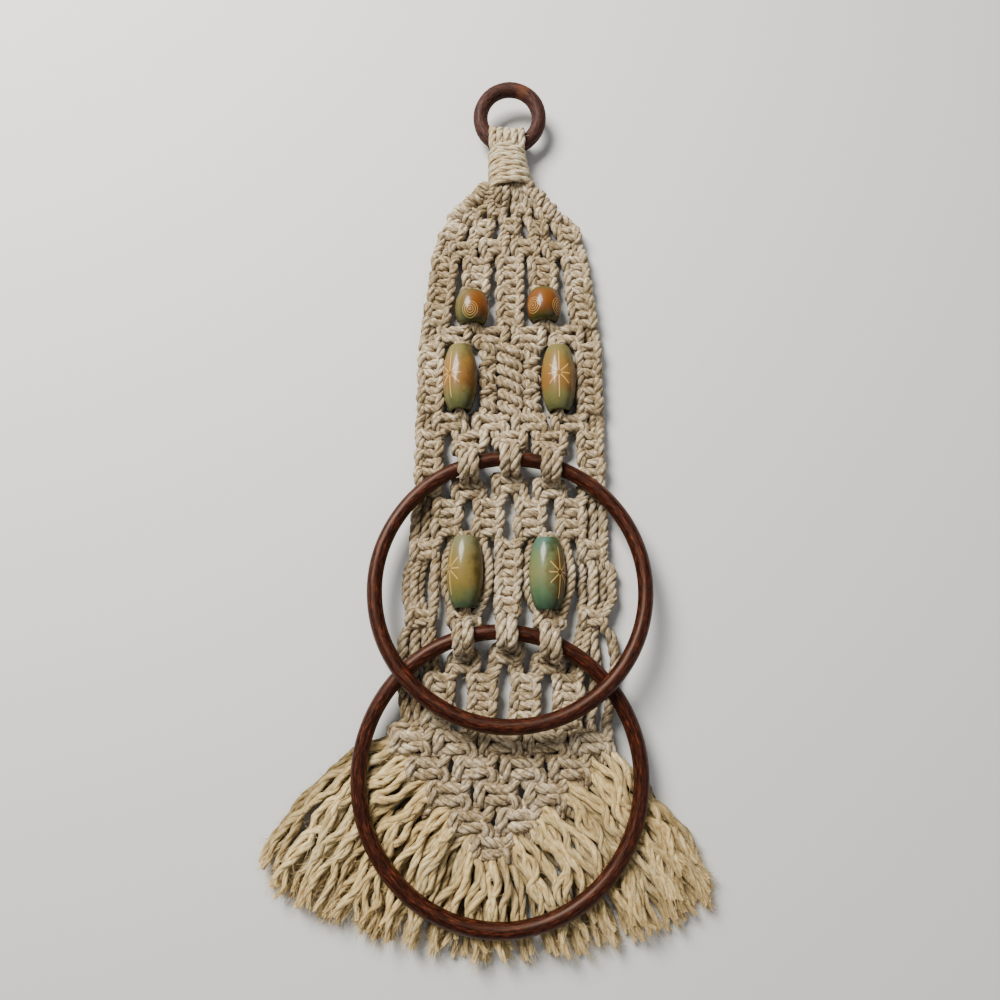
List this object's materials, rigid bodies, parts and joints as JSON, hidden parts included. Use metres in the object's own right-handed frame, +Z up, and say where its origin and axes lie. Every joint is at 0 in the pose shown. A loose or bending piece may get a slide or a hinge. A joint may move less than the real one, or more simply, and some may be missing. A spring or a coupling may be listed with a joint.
{
  "type": "macrame towel holder",
  "caption": "Knotted yarn wall hanging with a small wooden hanging ring, glazed beads, large wooden towel rings and a fringed point.",
  "frame": {"origin": "middle of the bounding box, on the surface the piece lies on", "axes": "+Y along the net towards the small hanging ring, +X across it to the right seen from the front, +Z up from the surface, out of the decorated face"},
  "size_m": [0.2244, 0.4946, 0.0271],
  "materials": {
    "yarn": "matte plied oatmeal yarn",
    "fringe_yarn": "matte untwisted cream yarn",
    "dark_wood": "satin dark stain, worn reddish along the tube",
    "bead_glaze": "gloss ceramic glaze, amber running to green"
  },
  "bodies": {
    "root": {"fringe_left": "fringe_yarn", "fringe_right": "fringe_yarn", "gathering_wrap": "yarn", "hanging_ring": "dark_wood", "knotted_body": "yarn", "lower_bead_left": "bead_glaze", "lower_bead_right": "bead_glaze", "lower_ring": "dark_wood", "round_bead_left": "bead_glaze", "round_bead_right": "bead_glaze", "upper_bead_left": "bead_glaze", "upper_bead_right": "bead_glaze", "upper_ring": "dark_wood"}
  },
  "joints": []
}
